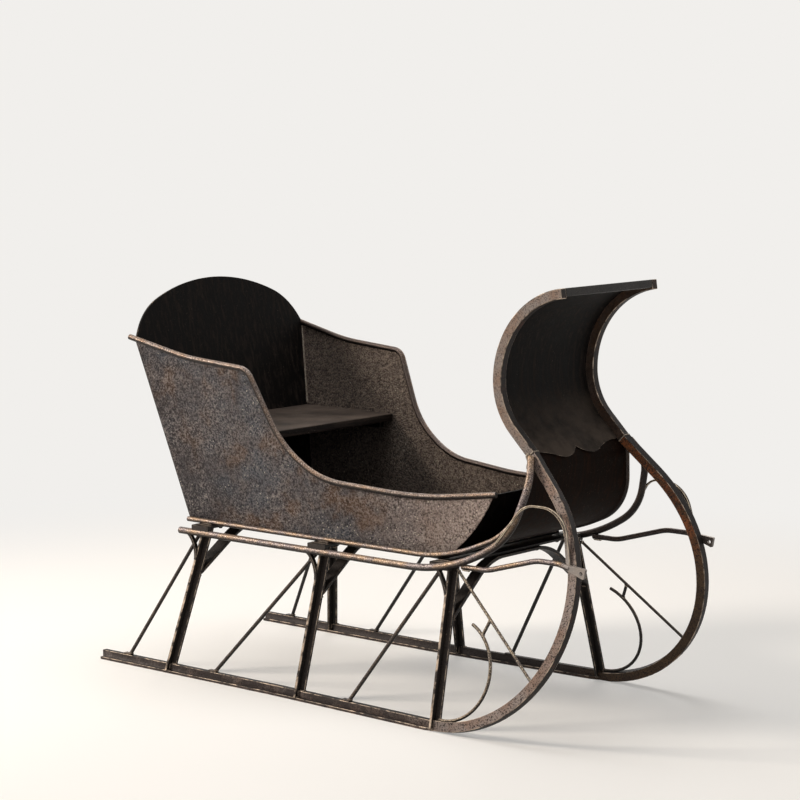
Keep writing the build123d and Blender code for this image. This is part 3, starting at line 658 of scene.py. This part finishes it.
# Running gear as the CAD gives it, in mm, for the places of welds and fastenings (left side): halves are
# distances from the middle plane, leans are mm inward per mm of height
gear = {
    "halfGauge": 198.0, "lean": 0.20343, "toeBendX": -98.0, "toeOut": 0.0378, "noseLean": 0.24442,
    "shoeTop": 4.5, "webMiddle": 7.5, "webTop": 15.0, "webHalf": 4.5, "beamUnder": 237.0,
    "upperRodHalf": 152.5, "strapHalf": 168.5, "bowStrapZ": 158.5,
    "bents": [  # x of post foot, post top and beam, x and z of the knee strap's head
        {"foot": -320.0, "top": -277.0, "beam": -277.0, "strap": (-304.0, 226.0)},
        {"foot": -38.0, "top": -24.0, "beam": -27.0, "strap": (-46.0, 226.0)},
        {"foot": 240.0, "top": 228.0, "beam": 213.0, "strap": (212.0, 231.0)},
    ],
    "stays": [(-415.0, -287.5), (-222.0, -29.2), (66.0, 210.4)],  # foot x, head x
    "joint": (344.4, 115.0, 408.0),
}
weld = {
    "ripplePitchMm": 1.7, "stepsPerRipple": 3, "sides": 8, "unevenness": 0.16, "seed": 11,
    "valley": 0.84, "crest": 0.26, "taper": 0.35,  # shares of the bead's radius
}
random.seed(weld["seed"])


def runHalf(x):
    # half the distance of the runners' webs at x, where they toe out in front of a bend
    toeHalf = gear["halfGauge"] + gear["toeOut"] * max(0.0, x - gear["toeBendX"])
    return toeHalf - gear["noseLean"] * gear["webMiddle"]


def postHalf(z):
    return gear["halfGauge"] - gear["lean"] * z


def postSlope(bent):
    return (bent["top"] - bent["foot"]) / (gear["beamUnder"] - gear["shoeTop"])


def nosePlace(along, up):
    # a point of the swept bars' plane, from its run along the floor and up the plane
    alongWay = Vector((1, gear["toeOut"], 0)).normalized()
    across = Vector((gear["toeOut"], -1, -gear["noseLean"])).normalized()
    foot = Vector((0, gear["halfGauge"] - gear["toeOut"] * gear["toeBendX"], 0))
    return foot + alongWay * along + across.cross(alongWay) * up


def circleAngles(count):
    return [2 * math.pi * k / count for k in range(count)]


def ringAround(middle, axis, radius, count=8):
    # points of a circle about an axis
    turn = Vector(axis).to_track_quat("Z", "Y")
    return [Vector(middle) + turn @ Vector((radius * math.cos(a), radius * math.sin(a), 0))
            for a in circleAngles(count)]


def skinRings(bm, rings, closed=False):
    # quads from ring to ring, and a cap on each open end
    following = rings[1:] + (rings[:1] if closed else [])
    for first, second in zip(rings, following):
        for s in range(len(first)):
            t = (s + 1) % len(first)
            bm.faces.new((first[s], first[t], second[t], second[s]))
    if not closed:
        bm.faces.new(list(reversed(rings[0])))
        bm.faces.new(rings[-1])


def addBead(bm, points, radius, closed, mirrored):
    # a rippled weld bead along straight runs between points, in mm
    points = [Vector(p) for p in points]
    if mirrored:
        points = [Vector((p.x, -p.y, p.z)) for p in points]
    if closed:
        points.append(points[0])
    step = weld["ripplePitchMm"] / weld["stepsPerRipple"]
    places = []
    for start, end in zip(points, points[1:]):
        count = max(1, round((end - start).length / step))
        places += [start.lerp(end, k / count) for k in range(count)]
    if not closed:
        places.append(points[-1])
    rings = []
    total = len(places)
    for k, place in enumerate(places):
        ahead = places[(k + 1) % total] if closed or k + 1 < total else place
        behind = places[k - 1] if closed or k > 0 else place
        swell = weld["valley"] + weld["crest"] * abs(math.sin(math.pi * k / weld["stepsPerRipple"]))
        if not closed:
            fromEnd = min(k, total - 1 - k) / weld["stepsPerRipple"]
            swell *= min(1.0, weld["taper"] + (1 - weld["taper"]) * fromEnd)
        size = radius * swell * (1 + random.uniform(-1, 1) * weld["unevenness"])
        ring = ringAround(place, (ahead - behind).normalized(), size, weld["sides"])
        rings.append([bm.verts.new(point / 1000) for point in ring])
    skinRings(bm, rings, closed)


def finishPiece(bm, name, material, sharpDegrees=50):
    bmesh.ops.recalc_face_normals(bm, faces=bm.faces)
    mesh = bpy.data.meshes.new(name)
    bm.to_mesh(mesh)
    bm.free()
    mesh.materials.append(material)
    shadeRound(mesh, sharpDegrees)
    piece = bpy.data.objects.new(name, mesh)
    bpy.context.scene.collection.objects.link(piece)
    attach(piece, "root")


# A bead is its points, its radius and whether it closes on itself. At the feet: posts on the runner's
# shoe and web, stays on its web, the lump behind each stay's lug, the scroll on the swept bar
footWeldMm = {
    "bead": 1.15, "gap": 0.4, "shoeReach": 10.0, "flange": 4.8,
    "stemBead": 1.2, "root": 0.5, "rootHalf": 2.6, "tip": 9.4, "tipHalf": 2.4, "stemZ": 15.2,
    "stayBead": 1.15, "stayRadius": 3.1, "stayUp": 2.6, "stayZ": 17.7,
    "lugBead": 1.6, "lugBack": 12.2, "lugHalf": 3.4, "lugZ": 15.6,
    "scrollBead": 1.1, "scrollRadius": 2.7, "scrollFoot": (247.3, 17.0), "scrollWay": (1, 0.04, 0.1),
}


def footWelds():
    size = footWeldMm
    beads = []
    shoeZ = gear["shoeTop"] + size["gap"]
    for bent in gear["bents"]:
        half = runHalf(bent["foot"])
        low = bent["foot"] + size["gap"]
        high = low + postSlope(bent) * (gear["webTop"] - gear["shoeTop"])
        back = low - size["flange"]
        for side in (1, -1):
            near = half + side * (gear["webHalf"] + size["gap"])
            far = half + side * size["shoeReach"]
            front = [(low, far, shoeZ), (low, near, shoeZ), (high, near, gear["webTop"])]
            beads.append((front, size["bead"], False))
            beads.append(([(back, far, shoeZ), (back, near, shoeZ)], size["bead"], False))
        stem = [(high + size[end], half + side * size[end + "Half"], size["stemZ"])
                for side, end in ((1, "root"), (1, "tip"), (-1, "tip"), (-1, "root"))]
        beads.append((stem, size["stemBead"], False))
    for footX, headX in gear["stays"]:
        half = runHalf(footX)
        slope = (headX - footX) / (gear["beamUnder"] - gear["webTop"])
        at = footX + slope * size["stayUp"]
        along = size["stayRadius"] * math.hypot(1, slope)
        ring = [(at + along * math.cos(a), half + size["stayRadius"] * math.sin(a), size["stayZ"])
                for a in circleAngles(8)]
        beads.append((ring, size["stayBead"], True))
        lug = [(footX - size["lugBack"], half + side * size["lugHalf"], size["lugZ"]) for side in (-1, 1)]
        beads.append((lug, size["lugBead"], False))
    scroll = ringAround(nosePlace(*size["scrollFoot"]), size["scrollWay"], size["scrollRadius"])
    beads.append((scroll, size["scrollBead"], True))
    return beads


# At the heads: knee straps and beams on the rods, bow straps on the posts, stays under the beams
headWeldMm = {
    "strapBead": 1.3, "strapBack": 2.6, "strapHalf": 3.2, "strapDown": 1.8,
    "rodBead": 1.3, "rodOut": 3.6, "rodHalf": 11, "rodZ": 241.9,
    "saddleBead": 1.2, "saddleHalf": 17.5, "saddleY": 163.2, "saddleZ": 240.6,
    "bowBead": 1.2, "bowStart": 1, "bowEnd": 9, "bowIn": 2.4, "bowZ": 157.6,
    "stayBead": 1.1, "stayRadius": 3.3, "stayBack": 1.0, "stayTopZ": 236, "stayZ": 235.9,
}


def headWelds():
    size = headWeldMm
    beads = []
    for bent in gear["bents"]:
        strapX = bent["strap"][0] - size["strapBack"]
        strapZ = bent["strap"][1] - size["strapDown"]
        rodY = gear["upperRodHalf"] + size["rodOut"]
        bowX = bent["foot"] + postSlope(bent) * (gear["bowStrapZ"] - gear["shoeTop"])
        bowY = postHalf(gear["bowStrapZ"]) - size["bowIn"]
        strap = [(strapX, gear["strapHalf"] + side * size["strapHalf"], strapZ) for side in (-1, 1)]
        rod = [(bent["beam"] + side * size["rodHalf"], rodY, size["rodZ"]) for side in (-1, 1)]
        saddle = [(bent["beam"] + side * size["saddleHalf"], size["saddleY"], size["saddleZ"])
                  for side in (-1, 1)]
        bow = [(bowX + size[end], bowY, size["bowZ"]) for end in ("bowStart", "bowEnd")]
        beads += [(strap, size["strapBead"], False), (rod, size["rodBead"], False),
                  (saddle, size["saddleBead"], False), (bow, size["bowBead"], False)]
    for _, headX in gear["stays"]:
        top = (headX - size["stayBack"], postHalf(size["stayTopZ"]), size["stayZ"])
        beads.append((ringAround(top, (0, 0, 1), size["stayRadius"]), size["stayBead"], True))
    return beads


# At the nose: joint of swept bar and dash rail, rod ends, scroll link, front stay
noseWeldMm = {
    "joint": [  # places from the joint, bead radius
        ([(-5.5, 6.7, -5.5), (5.5, 6.7, 5.5)], 1.3),
        ([(-5.5, -6.7, -5.5), (5.5, -6.7, 5.5)], 1.1),
        ([(-5.5, -6.2, -5.5), (-5.5, 6.2, -5.5)], 1.4),
        ([(5.5, -6.2, 5.5), (5.5, 6.2, 5.5)], 0.9),
        ([(-1.5, 7.4, -9.5), (-4.8, 8.2, -2.5), (-1.5, 7.8, 2.6)], 2.5),
        ([(6.2, 8.6, -8.0), (4.6, 8.4, -0.5)], 2.2),
        ([(3.6, 15.0, -9.0), (4.2, 19.0, -19.0)], 2.1),
    ],
    "rodBead": 1.1, "rodEnds": [[(257, 168.9, 235.0), (272, 168.9, 235.0)],
                                [(257, 160.9, 235.0), (272, 160.9, 235.0)]],
    "ringBead": 1.0, "linkStart": (301.4, 149.8), "linkEnd": (311.5, 173.9),
    "linkRings": [(0.06, 2.5), (0.92, 2.4)],  # share of the link's length, radius
    "stayFoot": (408.0, 92.5), "stayHead": (235.5, 238.0), "stayTop": (238.2, 235.7), "stayRadius": 2.3,
}


def noseWelds():
    size = noseWeldMm
    joint = gear["joint"]
    beads = [([[j + p for j, p in zip(joint, place)] for place in places], bead, False)
             for places, bead in size["joint"]]
    beads += [(run, size["rodBead"], False) for run in size["rodEnds"]]
    start = nosePlace(*size["linkStart"])
    way = nosePlace(*size["linkEnd"]) - start
    for share, radius in size["linkRings"]:
        beads.append((ringAround(start + way * share, way, radius), size["ringBead"], True))
    foot = nosePlace(*size["stayFoot"])
    way = nosePlace(*size["stayHead"]) - foot
    for place in (foot, nosePlace(*size["stayTop"])):
        beads.append((ringAround(place, way, size["stayRadius"]), size["ringBead"], True))
    return beads


# Both ends of the fender loop, on the swept bar and on the shaft iron's neck: places and radius in mm
loopWeldMm = [
    ([(318.6, 171.6, 278.6), (322.4, 171.4, 284.4)], 1.3),
    ([(441.0, 163.4, 266.6), (447.0, 162.6, 264.4)], 1.2),
]


def loopWelds():
    return [(run, bead, False) for run, bead in loopWeldMm]


# Corner seam of side sheet and back panel, inside the tub above the seat; the tub's own numbers first
seamWeldMm = {
    "backX": -318.4, "backZ": 249.0, "backLean": 0.245, "floorZ": 244.0, "high": 416.0,
    "floorHalf": 148.5, "rearFlare": 73.1, "waistFlare": 57.3, "rearX": -440.0, "rearToWaist": 415.0,
    "bead": 1.6, "inside": 2.4, "heights": (400.5, 430.0, 460.0, 490.0, 530.0),
}


def seamWelds():
    tub = seamWeldMm
    line = []
    for z in tub["heights"]:
        x = tub["backX"] - tub["backLean"] * (z - tub["backZ"])
        rise = (z - tub["floorZ"]) / tub["high"]
        rear = tub["floorHalf"] + tub["rearFlare"] * rise
        waist = tub["floorHalf"] + tub["waistFlare"] * rise
        half = rear + (waist - rear) * (x - tub["rearX"]) / tub["rearToWaist"]
        line.append((x, half - tub["inside"], z))
    return [(line, tub["bead"], False)]


weldGroups = [
    # name, beads, material, slot
    ("welds_feet", footWelds, darkWeld, "black_bar"),
    ("welds_heads", headWelds, darkWeld, "black_bar"),
    ("welds_nose", noseWelds, paleWeld, "worn_rod"),
    ("welds_loop", loopWelds, paleWeld, "worn_rod"),
    ("seam_back", seamWelds, paleWeld, "patina_sheet"),
]
for name, beadsOf, material, slotName in weldGroups:
    for side, mirrored in (("_left", False), ("_right", True)):
        bm = bmesh.new()
        for points, radius, closed in beadsOf():
            addBead(bm, points, radius, closed, mirrored)
        finishPiece(bm, name + side, material)
print("welds laid")


# Floor and bow straps are riveted down to the beams, with a bolt and nut near each end
fastening = {
    "rivetHalfMm": 50.0, "boltHalfMm": 124.0, "floorTopMm": 244.0, "bowUnderMm": 231.6,
    "foremostMm": 190.0,  # the floor's front rivets stand back from the beam's middle, on the sheet
    "headRadiusMm": 4.6, "headHighMm": 2.0, "headSegments": 16,
    "headRows": [(1.0, -0.3), (1.0, 0.0), (0.94, 0.35), (0.75, 0.7), (0.42, 0.93)],  # shares of both
    "nutAcrossMm": 10.0, "nutHighMm": 4.2, "sunkMm": 0.3, "nutSharpDegrees": 25,
    "boltMm": 6.0, "boltEndMm": 2.0, "boltSegments": 12, "chamferMm": 0.6, "chamferShare": 0.86,
}


def addRing(bm, middle, radius, rise, count):
    # corners of a level ring, at a height over its middle, in mm
    return [bm.verts.new(((middle[0] + radius * math.cos(a)) / 1000,
                          (middle[1] + radius * math.sin(a)) / 1000, (middle[2] + rise) / 1000))
            for a in circleAngles(count)]


def addRivet(bm, middle, sign, settings):
    # a round head, standing up on a plane or hanging under it
    radius = settings["headRadiusMm"]
    high = sign * settings["headHighMm"]
    skinRings(bm, [addRing(bm, middle, radius * share, high * rise, settings["headSegments"])
                   for share, rise in settings["headRows"]])


def addNut(bm, middle, settings):
    # a hexagon nut under a plane, with the bolt's end through it
    under = -settings["nutHighMm"]
    for sides, radius, top, bottom in (
            (6, settings["nutAcrossMm"] / math.sqrt(3), settings["sunkMm"], under),
            (settings["boltSegments"], settings["boltMm"] / 2, 0.0, under - settings["boltEndMm"])):
        rows = ((1.0, top), (1.0, bottom + settings["chamferMm"]), (settings["chamferShare"], bottom))
        skinRings(bm, [addRing(bm, middle, radius * share, rise, sides) for share, rise in rows])


def addFastenings(settings):
    rivets = bmesh.new()
    nuts = bmesh.new()
    for bent in gear["bents"]:
        seat = min(bent["beam"], settings["foremostMm"])
        for side in (1, -1):
            rivetY = side * settings["rivetHalfMm"]
            boltY = side * settings["boltHalfMm"]
            addRivet(rivets, (seat, rivetY, settings["floorTopMm"]), 1, settings)
            addRivet(rivets, (seat, boltY, settings["floorTopMm"]), 1, settings)
            addRivet(rivets, (bent["top"], rivetY, settings["bowUnderMm"]), -1, settings)
            addNut(nuts, (bent["beam"], boltY, gear["beamUnder"]), settings)
    finishPiece(rivets, "floor_rivets", teeIron)
    finishPiece(nuts, "beam_nuts", teeIron, settings["nutSharpDegrees"])


addFastenings(fastening)
print("rivets and nuts set")
